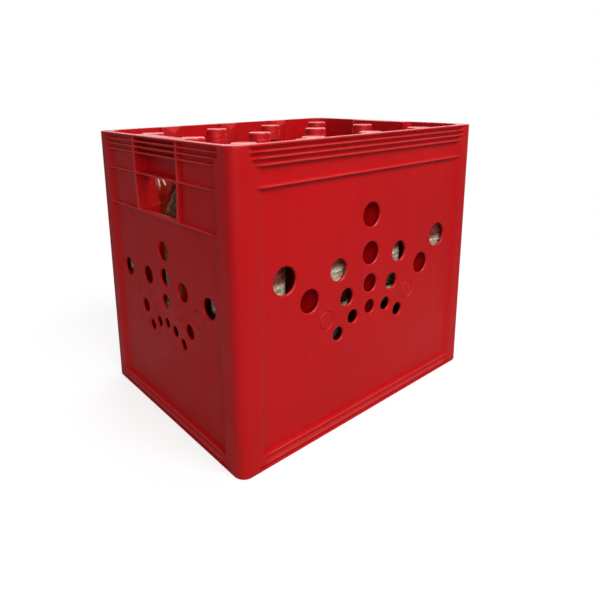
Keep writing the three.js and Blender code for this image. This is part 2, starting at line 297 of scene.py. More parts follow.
def side_rows(tops, halves, plain_fade):
    rows = [(0, 0, 0, halves[-1], plain_fade)]
    for i in reversed(range(len(halves))):
        fade = RIM_FADE if i < len(RIM_TOPS) else plain_fade
        band = base_rows if i == len(halves) - 2 else band_rows
        rows += band(tops[i + 1], tops[i] - RIB, halves[i], fade)
        rows += tip_rows(tops[i], halves[i], fade) if i else []
    return rows + [(z, 0, 0, halves[0], RIM_FADE) for z in (HEIGHT - RIB + 0.5, HEIGHT)]


long_rows = side_rows(long_tops, long_halves, LONG_FADE)
short_rows = side_rows(short_tops, short_halves, SHORT_FADE)
edge_rows = [(0, EDGE_ROUND), (0.12, 0.52), (0.4, 0.2), (0.9, 0)]
levels = sorted({round(row[0], 3) for row in long_rows + short_rows}
                | {z for z, _ in edge_rows} | {HEIGHT - z for z, _ in edge_rows})
print("levels:", len(levels))

# %% Depth along a side
PITCH = 98.5
BULGE = 0.16  # the panel swells a little where a divider stands behind it
BULGE_HALF, BULGE_RUN = 15.5, 5
RIDGE_STATIONS = [  # place and open share of a ridge's cross section, from the hand hold outwards
    (46.9, 1), (47.5, 0.98), (47.72, 0.9), (48, 0.035), (48.2, 0.01), (48.5, 0),
    (50.5, 0), (50.8, 0.02), (51, 0.1), (51.28, 0.9), (51.5, 0.97), (52.1, 1),
]
RIDGE_MIDDLE = 49.5


def s_curve(share):
    return (1 - np.cos(np.pi * np.clip(share, 0, 1))) / 2


def spaced(low, high, step):
    return np.linspace(low, high, math.ceil((high - low) / step) + 1).tolist()


def mirrored(places):
    return np.array(sorted({-u for u in places} | set(places)))


def divider_edges(middles):
    runs = (0, BULGE_RUN / 2, BULGE_RUN)
    return [abs(m + s * (BULGE_HALF + r)) for m in middles for s in (-1, 1) for r in runs]


long_dividers = [-PITCH, 0, PITCH]
short_dividers = [-PITCH / 2, PITCH / 2]
long_end, short_end = HALF_LENGTH - CORNER_RADIUS, HALF_WIDTH - CORNER_RADIUS
long_places = mirrored([0] + divider_edges(long_dividers) + spaced(157, 183, 1.3) + [long_end])
short_places = mirrored([0, 20, 40] + [u for u, _ in RIDGE_STATIONS] + [62, 84, 100]
                        + spaced(106, 130, 1.2) + [short_end])


def bulge(places, dividers):
    distance = np.min([np.abs(places - middle) for middle in dividers], axis=0)
    return BULGE * (1 - s_curve((distance - BULGE_HALF) / BULGE_RUN))


def side_depths(rows, places, dividers, open_share, deep_half):
    """Depth behind the outer face for each level and place of a side. Nearer to the middle than
    the deep half, the side steps back for the hand hold."""
    heights = np.array([row[0] for row in rows])
    deep = np.abs(places) < deep_half
    table = []
    for z, share, rounding, half, fade in rows:
        rise = s_curve((half - np.abs(places)) / fade)
        behind = RIM_RECESS if z > RIM_TOPS[-1] - 0.1 else GRIP_RECESS
        recess = np.where(deep & (z > SILL_TOP), behind, RECESS - bulge(places, dividers))
        gap = open_share if z > SILL_TOP else 1
        table.append(rise * gap * (rounding + share * (recess - rounding)))
    table = np.array(table)
    return np.array([[np.interp(z, heights, column) for column in table.T] for z in levels])


ridge_u, ridge_open = np.array(RIDGE_STATIONS).T
short_open = np.where(np.abs(short_places) < ridge_u[0], 1,
                      np.interp(np.abs(short_places), ridge_u, ridge_open))
long_depths = side_depths(long_rows, long_places, long_dividers, 1, 0)
short_depths = side_depths(short_rows, short_places, short_dividers, short_open, RIDGE_MIDDLE)
print("places on a long side:", len(long_places), "on a short side:", len(short_places))

# %% Loft the skin
CORNER_STEPS = 12


def ridge_places(z):
    """Places on a short side, where the ridges lean inwards between the grip and the sill."""
    lean = RIDGE_LEAN * np.clip((GRIP_TOP - z) / (GRIP_TOP - SILL_TOP), 0, 1)
    width = np.abs(short_places)
    near = np.interp(width, [0, ridge_u[0], ridge_u[-1], 100], [0, 1, 1, 0])
    return short_places - np.sign(short_places) * near * lean


def corner(centre, start, edge):
    angles = start + np.linspace(0, math.pi / 2, CORNER_STEPS + 1)[1:-1]
    reach = CORNER_RADIUS - edge
    return [(centre[0] + reach * math.cos(a), centre[1] + reach * math.sin(a)) for a in angles]


def skin_ring(row):
    z = levels[row]
    heights, rounding = np.array(edge_rows).T
    edge = float(np.interp(min(z, HEIGHT - z), heights, rounding))
    long_depth = np.maximum(long_depths[row], edge)
    short_depth = np.maximum(short_depths[row], edge)
    ring = []
    for turn, span, reach, places, depth in (
            (0, short_end, HALF_WIDTH, long_places, long_depth),
            (1, long_end, HALF_LENGTH, ridge_places(z), short_depth),
            (2, short_end, HALF_WIDTH, long_places, long_depth),
            (3, long_end, HALF_LENGTH, ridge_places(z), short_depth)):
        angle = turn * math.pi / 2
        along = np.array([math.cos(angle), math.sin(angle)])
        out = np.array([math.sin(angle), -math.cos(angle)])
        side = [along * u + out * (reach - d) for u, d in zip(places, depth)]
        arc_centre = along * places[-1] + out * (reach - CORNER_RADIUS)
        ring += side + corner(arc_centre, angle - math.pi / 2, edge)
    return np.column_stack([np.array(ring), np.full(len(ring), z)])


crate = loft("crate_shell", [[skin_ring(row) for row in range(len(levels))]])
print("skin faces:", len(crate.data.polygons))

# %% [markdown]
# ## The cells inside
#
# Thin dividers part the crate into four by three cells. Where a divider meets a long wall it swells
# into a wedge with a sloping nose, which stiffens the wall against the weight of the bottles. The
# cutters are outlines with rounded corners, and they widen a little at the rim so that the inner
# edge is soft. The short walls are different: their wedges stop under the hand hold, and above it
# the middle cell is shorter, because there the wall steps inwards behind the grip.

# %% Sizes of the cells
COLUMNS, ROWS = 4, 3
WEB = 2.6
CELL_RADIUS, CORNER_CELL_RADIUS, BEHIND_GRIP_RADIUS = 8, 30, 3
FLOOR_TOP = 7
WEDGE_TOP = 238  # on the short sides
GRIP_WALL = 2.6
GRIP_LIP = 296.5
inside_x = HALF_LENGTH - RIM_WIDTH
inside_y = HALF_WIDTH - RIM_WIDTH
behind_grip = HALF_LENGTH - GRIP_RECESS - GRIP_WALL
# A wedge from the wall to the divider: half width, distance from the wall, rounding
WEDGE = [(16.6, 0, 1.2), (15.7, 4.2, 1.8), (WEB / 2, 12.6, 5)]


# %% Outline of a cell
def cell_span(index, count, inside):
    middle = count / 2
    low = -inside if index == 0 else (index - middle) * PITCH + WEB / 2
    high = inside if index == count - 1 else (index + 1 - middle) * PITCH - WEB / 2
    return low, high


def wedge_corner(x, y, x_way, y_way, on_long_wall):
    """The corner between a wall and a divider. The ways point into the cell."""
    places = []
    for half, distance, radius in WEDGE:
        along = half - WEB / 2
        shift = (along, distance) if on_long_wall else (distance, along)
        places.append((x + x_way * shift[0], y + y_way * shift[1], radius))
    starts_on_wall = on_long_wall == (x_way * y_way > 0)
    return places[::-1] if starts_on_wall else places


def cell_outline(column, row, with_short_wedges, x_limit=inside_x):
    x0, x1 = cell_span(column, COLUMNS, x_limit)
    y0, y1 = cell_span(row, ROWS, inside_y)
    corners = []
    for x, y, x_way, y_way in ((x0, y0, 1, 1), (x1, y0, -1, 1), (x1, y1, -1, -1), (x0, y1, 1, -1)):
        at_end = abs(x) == x_limit
        at_side = abs(y) == inside_y
        if at_end and at_side:
            corners.append([(x, y, CORNER_CELL_RADIUS)])
        elif at_side:
            corners.append(wedge_corner(x, y, x_way, y_way, True))
        elif at_end and with_short_wedges:
            corners.append(wedge_corner(x, y, x_way, y_way, False))
        else:
            corners.append([(x, y, CELL_RADIUS if x_limit == inside_x else BEHIND_GRIP_RADIUS)])
    flat = [place for group in corners for place in group]
    return round_corners([(x, y) for x, y, _ in flat], [radius for _, _, radius in flat])


# %% Cut the cells
RIM_SOFT = 0.8  # rounding of the rim's inner edge
SOFT_STEPS = [0, 0.3, 0.6, 0.85, 1]


def to_rim(outline, low):
    rings = [laid(outline, "z", low)]
    for share in SOFT_STEPS:
        drop = RIM_SOFT * (1 - share)
        spread = RIM_SOFT * (1 - math.sqrt(1 - share ** 2)) if share < 1 else RIM_SOFT
        rings.append(laid(widened(outline, spread), "z", HEIGHT - drop))
    rings.append(laid(widened(outline, RIM_SOFT), "z", HEIGHT + 1))
    return rings


low_cells, high_cells, grip_cells = [], [], []
for column in range(COLUMNS):
    for row in range(ROWS):
        at_end = column in (0, COLUMNS - 1)
        if not at_end:
            low_cells.append(to_rim(cell_outline(column, row, False), FLOOR_TOP))
            continue
        low_cells.append(prism(cell_outline(column, row, True), "z", FLOOR_TOP, WEDGE_TOP + 2))
        upper = cell_outline(column, row, False)
        if row == 1:
            high_cells.append(prism(upper, "z", WEDGE_TOP, GRIP_LIP))
            grip_cells.append(to_rim(cell_outline(column, row, False, behind_grip), GRIP_LIP - 2))
        else:
            high_cells.append(to_rim(upper, WEDGE_TOP))
cut(crate, "low_cells", low_cells)
cut(crate, "high_cells", high_cells)
cut(crate, "grip_cells", grip_cells)

# %% [markdown]
# ## The dividers' upper edges
#
# A divider is as high as the rim where it meets a wall and drops in a long curve to a low edge
# between the bottles, so that a hand can get round a bottle's neck. Seen from the side the free
# space is one profile along the crate and one across it, and what both leave open is cut away.
# The noses of the wedges slope away from the rim in the profile across.

# %% Cut the free space over the dividers
CURVE = [(22, 304, 90), (29, 258, 70), (40, 233, 22), (56, 220, 30)]  # inset, height, rounding
END_START = [(20, HEIGHT + 1, 0)]
SIDE_START = [(13.6, HEIGHT + 1, 0), (20, 338.6, 1.2)]
CHEEK_REACH = 27


def free_profile(half, start):
    left = [(inset - half, z, radius) for inset, z, radius in start + CURVE]
    right = [(-u, z, radius) for u, z, radius in reversed(left)]
    points = left + right
    return round_corners([(u, z) for u, z, _ in points], [radius for _, _, radius in points])


cheek_places = []
for side in (-1, 1):
    outline = [(48.6, GRIP_TOP + 2), (47.9, GRIP_TOP + 2), (44.4, SILL_TOP), (48.6, SILL_TOP - 30)]
    outline = [(side * u, z) for u, z in outline]
    outline = outline if side == 1 else outline[::-1]
    cheek_places.append(prism(outline, "x", -inside_x - 1, -HALF_LENGTH + CHEEK_REACH))
combine(crate, loft("cheeks", both_ends(cheek_places)), "UNION")
free_space = loft("free_space", [prism(free_profile(HALF_LENGTH, END_START), "y", -140, 140)])
across = loft("across", [prism(free_profile(HALF_WIDTH, SIDE_START), "x", -190, 190)])
combine(free_space, across, "INTERSECT")
combine(crate, free_space, "DIFFERENCE")
print("dividers trimmed, faces now", len(crate.data.polygons))

# %% Hollow out the wedges
# A moulding has no thick lumps: each wedge is hollow from the side of the wall.
HOLLOW = [(-14.8, 7.9, 0.5), (14.8, 7.9, 0.5), (14, 11, 4),  # place along the wall, inset, rounding
          (1, 17.8, 0.8), (-1, 17.8, 0.8), (-14, 11, 4)]
HOLLOW_LOW = 22
LONG_HOLLOW_TOP, SHORT_HOLLOW_TOP = 296, WEDGE_TOP - 4


def hollow(middle, half, top, on_long_side):
    outline = round_corners([(u, inset) for u, inset, _ in HOLLOW], [r for _, _, r in HOLLOW])
    if on_long_side:
        outline = np.array([[middle + u, inset - half] for u, inset in outline])
    else:
        outline = np.array([[inset - half, middle - u] for u, inset in outline])
    return prism(outline, "z", HOLLOW_LOW, top)


hollows = [hollow(x, HALF_WIDTH, LONG_HOLLOW_TOP, True) for x in long_dividers]
hollows += [hollow(y, HALF_LENGTH, SHORT_HOLLOW_TOP, False) for y in short_dividers]
cut(crate, "hollows", both_ends(hollows))

# %% [markdown]
# ## Hand holds, vents and the underside
#
# The hand hold is an opening under a grip rib, as wide as the ridges beside it leave. The vents are
# round holes in rays that open upwards from a low point. A vent in front of a wedge looks into its
# hollow. Each has a soft lip, which catches the light as a thin crescent, so its cutter flares out
# at the panel. A few vents are plugged in the mould and show only as a fine ring.

# %% Open the hand holds
OPEN_TRIM = 0.05
opening = []
for top, depth in ((GRIP_TOP - RIB - OPEN_TRIM, GRIP_RECESS - 1), (GRIP_LIP, CHEEK_REACH + 2)):
    low = SILL_TOP + OPEN_TRIM
    share = (top - SILL_TOP) / (GRIP_TOP - SILL_TOP)
    low_half = 48 - RIDGE_LEAN - OPEN_TRIM
    high_half = low_half + RIDGE_LEAN * share
    outline = [(-low_half, low), (low_half, low), (high_half, top), (-high_half, top)]
    opening.append(prism(outline, "x", -HALF_LENGTH - 1, -HALF_LENGTH + depth))
cut(crate, "front_opening", both_ends(opening[:1]))
cut(crate, "through_opening", both_ends(opening[1:]))

# %% Vents in rays
VENT_END = 8.6  # behind the outer face
LIP = 1.3  # rounding of a vent's lip
VENT_SIDES = 48
long_middle = [(0, 251.6, 14.6), (0, 205, 13.9), (0, 167.5, 11), (0, 137.5, 8.4)]
long_rays = [(134.7, 202.8, 15.5), (99.5, 171.1, 13.4), (54.5, 118.7, 8.2),
             (54.1, 196.1, 12.9), (40.3, 160.1, 10.4), (29.6, 133, 8.3)]
short_middle = [(0, 214.3, 11.7), (0, 183.1, 10.2), (0, 153.3, 8.2), (0, 125.4, 6.1)]
short_rays = [(94.3, 173.4, 11.7), (52.4, 132.4, 8.3), (36.8, 111.5, 6.3),
              (40.7, 175.7, 10.7), (18.9, 121.2, 6.4)]
long_plugs = [(73.6, 141, 10.8)]
short_plugs = [(29.4, 147.8, 8.4), (72.4, 154.5, 10.2)]


def both_hands(places):
    return [(side * u, z, radius) for u, z, radius in places for side in (-1, 1)]


def round_cutter(place, steps, on_long_side):
    """Rings round a vent's axis. A step is a depth behind the outer face and an added radius."""
    u, z, radius = place
    angles = np.linspace(0, 2 * math.pi, VENT_SIDES, endpoint=False)
    rings = []
    for depth, extra in steps:
        turn = np.column_stack([np.cos(angles), np.sin(angles)])
        ring = np.array([u, z]) + (radius + extra) * turn
        if on_long_side:
            rings.append(laid(ring, "y", depth - HALF_WIDTH))
        else:
            rings.append(laid(ring, "x", depth - HALF_LENGTH))
    return rings


lip_steps = [(-1, LIP)] + [
    (RECESS - 0.1 + LIP * math.sin(a), LIP * (1 - math.cos(math.pi / 2 - a)) if a else LIP)
    for a in np.linspace(0, math.pi / 2, 7)]
lip_steps += [(RECESS + PANEL, 0), (RECESS + PANEL + 0.3, LIP), (VENT_END, LIP)]
cutters = [round_cutter(place, lip_steps, True) for place in long_middle + both_hands(long_rays)]
short_vents = short_middle + both_hands(short_rays)
cutters += [round_cutter(place, lip_steps, False) for place in short_vents]
cut(crate, "vents", both_ends(cutters))

# %% Fine rings of the plugged vents
GROOVE, GROOVE_DEPTH = 1.5, 0.8


def groove_cutter(place, on_long_side):
    """A ring with a pointed section that scores a fine circle into the panel."""
    u, z, radius = place
    section = [(RECESS - 1, -GROOVE), (RECESS + GROOVE_DEPTH, 0), (RECESS - 1, GROOVE)]
    return round_cutter(place, section, on_long_side)


def closed_rings(name, rings_list):
    """Ring shaped solids: after the last ring of each comes its first one again."""
    points, faces = [], []
    for rings in rings_list:
        rows, count = np.shape(rings)[:2]
        start = len(points)
        points.extend(np.reshape(rings, (-1, 3)).tolist())
        for face in ring_faces(rows + 1, count):
            faces.append(tuple(start + point % (rows * count) for point in face))
    ring = build_mesh(name, points, faces)
    with reshaped(ring.data) as shape:
        bmesh.ops.recalc_face_normals(shape, faces=shape.faces)
    return ring


grooves = [groove_cutter(place, True) for place in both_hands(long_plugs)]
grooves += [groove_cutter(place, False) for place in both_hands(short_plugs)]
combine(crate, closed_rings("grooves", both_ends(grooves)), "DIFFERENCE")
print("grooves:", 2 * len(grooves), "faces now", len(crate.data.polygons))

# %% Pockets and drains of the underside
FOOT_RIB = 4.5
POCKET_TOP = 4.4
DRAIN_RADIUS = 25
pockets, drains = [], []
for column in range(COLUMNS):
    for row in range(ROWS):
        x0, x1 = cell_span(column, COLUMNS, inside_x)
        y0, y1 = cell_span(row, ROWS, inside_y)
        inset = (FOOT_RIB - WEB) / 2
        x0, x1, y0, y1 = x0 + inset, x1 - inset, y0 + inset, y1 - inset
        pocket = round_corners([(x0, y0), (x1, y0), (x1, y1), (x0, y1)], [5] * 4)
        pockets.append(prism(pocket, "z", -1, POCKET_TOP))
        angles = np.linspace(0, 2 * math.pi, 64, endpoint=False)
        middle = np.array([(column - 1.5) * PITCH, (row - 1) * PITCH])
        drain = middle + DRAIN_RADIUS * np.column_stack([np.cos(angles), np.sin(angles)])
        drains.append(prism(drain, "z", POCKET_TOP - 1, FLOOR_TOP + 1))
cut(crate, "pockets", pockets)
cut(crate, "drains", drains)


# %% [markdown]
# ## Soft and sharp edges
#
# Moulded plastic has no really sharp edge, but a mesh shades smoothly over a corner only if it is
# told to. Edges that bend more than a limit are marked sharp, and weighted normals keep the large
# flat faces flat next to the narrow rounded strips.

# %% Shading helper
def shade(piece, sharp_degrees):
    with reshaped(piece.data) as shape:
        for edge in shape.edges:
            bend = edge.calc_face_angle(0) if len(edge.link_faces) == 2 else 0
            edge.smooth = bend < math.radians(sharp_degrees)
        for face in shape.faces:
            face.smooth = True
    weighted = piece.modifiers.new("weighted", "WEIGHTED_NORMAL")
    weighted.keep_sharp = True
    return piece


shade(crate, 32)

# %% [markdown]
# ## Shader maths in Python
#
# A finish is a small node tree. Writing it as expressions keeps it readable: a Level stands for one
# output of a node, and adding or multiplying Levels adds the Math nodes. Everything that isn't
# arithmetic comes from one method that takes the node's type, its settings and its inputs.

# %% Levels and finishes
class Level:
    """One output socket of a node tree, ready for arithmetic."""

    def __init__(self, finish, socket):
        self.finish = finish
        self.socket = socket

    def maths(self, operation, *values):
        return self.finish.node("ShaderNodeMath", {"operation": operation}, dict(enumerate(values)))

    def __add__(self, other):
        return self.maths("ADD", self, other)

    def __sub__(self, other):
        return self.maths("SUBTRACT", self, other)

    def __rsub__(self, other):
        return self.maths("SUBTRACT", other, self)

    def __mul__(self, other):
        return self.maths("MULTIPLY", self, other)

    def __truediv__(self, other):
        return self.maths("DIVIDE", self, other)

    __radd__ = __add__
    __rmul__ = __mul__

    def root(self):
        return self.maths("SQRT", self)

    def sine(self):
        return self.maths("SINE", self)

    def between(self, low, high):
        """0 below low, 1 above high and a soft step in between."""
        return self.finish.node("ShaderNodeMapRange", {"interpolation_type": "SMOOTHSTEP"},
                                {"Value": self, "From Min": low, "From Max": high})


class Finish:
    """A material under construction, or the surround when a tree is given."""

    def __init__(self, name, tree=None):
        if tree is None:
            self.material = bpy.data.materials.new(name)
            self.material.use_nodes = True
            tree = self.material.node_tree
        self.tree = tree
        self.tree.nodes.clear()

    def node(self, kind, settings=None, inputs=None, output=0):
        node = self.tree.nodes.new(kind)
        for name, value in (settings or {}).items():
            setattr(node, name, value)
        for name, value in (inputs or {}).items():
            if isinstance(value, Level):
                self.tree.links.new(value.socket, node.inputs[name])
            elif isinstance(value, tuple) and node.inputs[name].type == "RGBA":
                node.inputs[name].default_value = (*value[:3], 1)
            else:
                node.inputs[name].default_value = value
        return Level(self, node.outputs[output])

    def place(self, output="Object"):
        return self.node("ShaderNodeTexCoord", output=output)

    def stretched(self, place, scale):
        return self.node("ShaderNodeVectorMath", {"operation": "MULTIPLY"}, {0: place, 1: scale})

    def noise(self, place, scale, detail=2, roughness=0.5):
        return self.node("ShaderNodeTexNoise", None, {
            "Vector": place, "Scale": scale, "Detail": detail, "Roughness": roughness})

    def blend(self, share, first, second):
        """A colour between two colours, A at share 0 and B at share 1."""
        settings = {"data_type": "RGBA"}
        return self.node("ShaderNodeMix", settings, {0: share, 6: first, 7: second}, output=2)

    def bump(self, height, strength, distance, normal=None):
        inputs = {"Height": height, "Strength": strength, "Distance": distance}
        if normal:
            inputs["Normal"] = normal
        return self.node("ShaderNodeBump", None, inputs)

    def light_through(self, shader, colour):
        """Lets the lamps' light pass straight through, tinted, where it would cast a shadow."""
        in_shadow = self.node("ShaderNodeLightPath", output="Is Shadow Ray")
        tint = self.node("ShaderNodeBsdfTransparent", None, {"Color": colour})
        return self.node("ShaderNodeMixShader", None, {0: in_shadow, 1: shader, 2: tint})

    def axis(self, vector, name):
        """One coordinate of a vector: X, Y or Z."""
        return self.node("ShaderNodeSeparateXYZ", None, {0: vector}, output=name)

    def end(self, shader, volume=None):
        output = self.tree.nodes.new("ShaderNodeOutputMaterial")
        self.tree.links.new(shader.socket, output.inputs["Surface"])
        if volume:
            self.tree.links.new(volume.socket, output.inputs["Volume"])
        return self.material


def linear(red, green, blue):
    """A colour as a picture gives it, 0 to 255, in the linear values that shaders use."""
    def straight(level):
        level /= 255
        return level / 12.92 if level <= 0.04045 else ((level + 0.055) / 1.055) ** 2.4
    return tuple(straight(level) for level in (red, green, blue))


# %% [markdown]
# ## Finish of the crate
#
# Crates are moulded from polyethylene with a strong pigment: waxy, slightly uneven in gloss, with
# a fine grain from the mould, faint flow streaks down the panels, and pale scuffs where crates rub
# against each other. The tips of the ribs are painted paler still: partly wear, partly a painted
# highlight. Inside, the plastic is painted darker towards the bottom, a painted shade, and the
# hollows behind the vents get a darker, matte copy of it as painted shade. Narrow edges get a little
# rounding in the shader.

# %% Crate plastic
finish = Finish("crate_plastic")
place = finish.place()
tone = finish.noise(place, 7, 3)
streaks = finish.noise(finish.stretched(place, (70, 70, 4)), 1, 2)
speckle = finish.noise(place, 420, 2)
scratches = finish.noise(finish.stretched(place, (900, 900, 60)), 1, 3, 0.6)
patches = finish.noise(place, 22, 3, 0.6)
scuffs = scratches.between(0.66, 0.78) * patches.between(0.52, 0.68)
shade_share = tone.between(0.3, 0.7) * 0.6 + streaks.between(0.35, 0.65) * 0.4
red = finish.blend(shade_share, linear(200, 10, 16), linear(209, 13, 19))
red = finish.blend(scuffs * 0.35, red, linear(226, 104, 98))
from_middle = finish.node("ShaderNodeVectorMath", {"operation": "ABSOLUTE"}, {0: place})
out_x, out_y = finish.axis(from_middle, "X"), finish.axis(from_middle, "Y")
height = finish.axis(place, "Z")


def inside(x_limit, y_limit, top, fade=0.008):
    """1 in the box round the middle that ends at these limits in metres."""
    return (1 - out_x.between(x_limit - 0.002, x_limit)) \
        * (1 - out_y.between(y_limit - 0.002, y_limit)) * (1 - height.between(top - fade, top))


LONG_TIPS_END, SHORT_TIPS_END = 0.17, 0.118  # metres from the middle of a side
GRIP_BLOCK = 0.022  # metres that a hand hold's inner wall reaches inwards
half_x, half_y, rim = HALF_LENGTH * MM, HALF_WIDTH * MM, HEIGHT * MM


def on_tips(out, half, along, limit):
    """1 near the outer face of a side, short of the corner columns, the rim and the foot."""
    return out.between(half - 0.0016, half - 0.0006) \
        * (1 - along.between(limit - 0.012, limit)) \
        * height.between(0.003, 0.006) * (1 - height.between(rim - 0.0045, rim - 0.0025))


inner_x, inner_y = inside_x * MM, inside_y * MM
# Paler tips of the ribs: partly wear, partly a painted highlight along their upper edges.
tip_wear_and_highlight = on_tips(out_y, half_y, out_x, LONG_TIPS_END) + on_tips(out_x, half_x, out_y, SHORT_TIPS_END)
red = finish.blend(tip_wear_and_highlight * (0.3 + 0.4 * streaks), red, linear(214, 66, 66))
# Painted shade: inside the walls the plastic is painted darker towards the bottom, and up to the hand
# holds away from the short ends, in place of the shade in there.
low_painted_shade = inside(inner_x, inner_y, 0.21, 0.05)
high_painted_shade = inside(inner_x - GRIP_BLOCK, inner_y, 0.29, 0.02)
painted_inner_shade = 1 - (1 - low_painted_shade) * (1 - high_painted_shade)
colour = finish.blend(painted_inner_shade * 0.86, red, linear(70, 3, 5))
roughness = 0.36 + 0.10 * patches.between(0.3, 0.7) + 0.05 * speckle + 0.12 * scuffs
soft_edge = finish.node("ShaderNodeBevel", {"samples": 6}, {"Radius": 0.0006})
grain = finish.bump(speckle, 0.25, 0.0002, soft_edge)
waves = finish.bump(tone + 0.3 * streaks, 0.35, 0.0012, grain)
surface = finish.node("ShaderNodeBsdfPrincipled", None, {
    "Base Color": colour, "Roughness": roughness, "Normal": waves,
    "IOR": 1.5, "Specular IOR Level": 0.3})
# Painted shade: the hollows behind the vents get a darker copy of the plastic, matte and without
# gloss, in place of the shade in them.
dull_painted_shade = finish.node("ShaderNodeBsdfPrincipled", None, {
    "Base Color": linear(148, 5, 11), "Roughness": 0.9, "Normal": grain,
    "Specular IOR Level": 0.0})
SHADED_HOLLOW_FROM = RECESS + 0.8  # behind the outer face
SHADED_HOLLOW_HALF = 15.4  # to each side of a divider
NOSE_LEAN, NOSE_TIP = 0.55, 20  # the sloping end of a hollow, and its inset at the divider


def in_hollow(out, half, along, last, top):
    """1 in the hollows of a side's wedges. The last divider is so many cells from the middle."""
    cells_out = along / (PITCH * MM)
    from_divider = finish.node("ShaderNodeMath", {"operation": "PINGPONG"}, {
        0: cells_out + last % 1, 1: 0.5}) * PITCH
    inset = (half - out) * (1 / MM)
    nose = inset + NOSE_LEAN * from_divider
    return inset.between(SHADED_HOLLOW_FROM, SHADED_HOLLOW_FROM + 0.8) \
        * (1 - from_divider.between(SHADED_HOLLOW_HALF - 0.2, SHADED_HOLLOW_HALF + 0.2)) \
        * (1 - nose.between(NOSE_TIP - 0.1, NOSE_TIP + 0.1)) \
        * (1 - cells_out.between(last + 0.25, last + 0.3)) \
        * (1 - height.between(top, top + 0.002))


shaded_hollow_share = in_hollow(out_y, half_y, out_x, 1, (LONG_HOLLOW_TOP + 1) * MM) \
    + in_hollow(out_x, half_x, out_y, 0.5, (SHORT_HOLLOW_TOP + 2) * MM)
crate_plastic = finish.end(finish.node("ShaderNodeMixShader", None, {
    0: shaded_hollow_share, 1: surface, 2: dull_painted_shade}))
crate.data.materials.clear()
crate.data.materials.append(crate_plastic)
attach(crate, "root")
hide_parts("crate")
print("crate plastic nodes:", len(finish.tree.nodes))


# %% [markdown]
# ## A turned bottle
#
# The bottle is a returnable glass bottle. Its profile is a closed line in a half plane that is
# turned round the axis: heel, straight body, a ring below the label, a recessed label field, a
# second ring, a long shoulder, a collar and the mouth. Below the label the wall carries slanting
# flutes, which the lathe adds as a small change of radius.

# %% The lathe
def lathe(name, profile, sides, swell=None):
    """Turns a closed profile of (radius, height) that starts and ends on the axis."""
    angles = np.linspace(0, 2 * math.pi, sides, endpoint=False)
    rings = []
    for radius, z in profile:
        around = np.full(sides, float(radius))
        if swell is not None and radius > 0:
            around = around + swell(radius, z, angles)
        rings.append(np.column_stack([around * np.cos(angles), around * np.sin(angles),
                                      np.full(sides, float(z))]))
    piece = build_mesh(name, np.concatenate(rings), ring_faces(len(rings), sides))
    with reshaped(piece.data) as shape:
        bmesh.ops.remove_doubles(shape, verts=shape.verts, dist=1e-7)
        bmesh.ops.dissolve_degenerate(shape, edges=shape.edges, dist=1e-8)
    return piece


def profile_of(corners):
    return round_corners([(radius, z) for radius, z, _ in corners], [r for _, _, r in corners])


def refined(profile, longest):
    """Extra points on the long straight runs."""
    result = [profile[0]]
    for point in profile[1:]:
        steps = math.ceil(np.linalg.norm(point - result[-1]) / longest)
        first = result[-1]
        result += [first + (point - first) * (i + 1) / steps for i in range(steps)]
    return result


# %% Glass of a bottle
GLASS_SIDES = 96
FLUTES = 7
FLUTE_DEPTH = 0.9
FLUTE_TWIST = math.radians(1.55)  # for each millimetre of height
FLUTE_LOW, FLUTE_TOP = 38, 129
MOUTH = 332
GLASS_OUTSIDE = [
    (0, 4.5, 0), (24, 3, 8), (33, 0, 3), (38, 0, 3), (41.5, 8, 9), (41.6, 129, 1),
    (42.3, 131.5, 1), (42.3, 139, 1), (40.4, 141.5, 1), (40.4, 206.5, 1), (42.1, 210.5, 1.5),
    (42.3, 216, 4), (42.3, 230, 30), (40.1, 245, 40), (36.6, 257, 60), (32.2, 269, 60),
    (26.5, 280.5, 40), (20.6, 289.3, 3), (20.3, 293, 1), (22.3, 298.6, 1.6), (22.3, 305.4, 2.4),
    (16, 308, 3), (12.5, 311, 2), (12.2, MOUTH, 1),
]
GLASS_INSIDE = [
    (9.2, MOUTH, 1), (9.2, 309, 8), (16.4, 290.5, 12), (22.9, 280, 30), (28.4, 269.5, 40),
    (32.8, 257, 50), (36.2, 244, 40), (38.2, 229, 20), (38.2, 14, 7), (24, 8, 8), (0, 9.5, 0),
]


def flutes(radius, z, angles):
    if radius < 40 or not FLUTE_LOW < z < FLUTE_TOP:
        return 0
    ends = s_curve((z - FLUTE_LOW) / 14) * s_curve((FLUTE_TOP - z) / 8)
    wave = (1 + np.cos(FLUTES * (angles - FLUTE_TWIST * z))) / 2
    return -FLUTE_DEPTH * ends * wave ** 3


glass_profile = refined(profile_of(GLASS_OUTSIDE + GLASS_INSIDE), 4)
glass_pattern = lathe("glass_pattern", glass_profile, GLASS_SIDES, flutes)
shade(glass_pattern, 50)
print("glass faces:", len(glass_pattern.data.polygons))

# %% Drink in a bottle
# The drink reaches a hair into the glass, so that no film of air shows between them. At its level
# it creeps up the glass in a small rim.
INTO_GLASS = 0.25
DRINK_LEVEL = 280
drink_wall = [(radius + INTO_GLASS, z, r) for radius, z, r in GLASS_INSIDE[4:-2]][::-1]
level_radius = 22.9 + INTO_GLASS
drink_corners = [(0, 9.2, 0), (24, 7.7, 8)] + drink_wall + [
    (level_radius, DRINK_LEVEL + 0.9, 0), (level_radius - 1.4, DRINK_LEVEL, 1), (0, DRINK_LEVEL, 0)]
drink_pattern = lathe("drink_pattern", profile_of(drink_corners), 64)
shade(drink_pattern, 50)
print("drink faces:", len(drink_pattern.data.polygons))

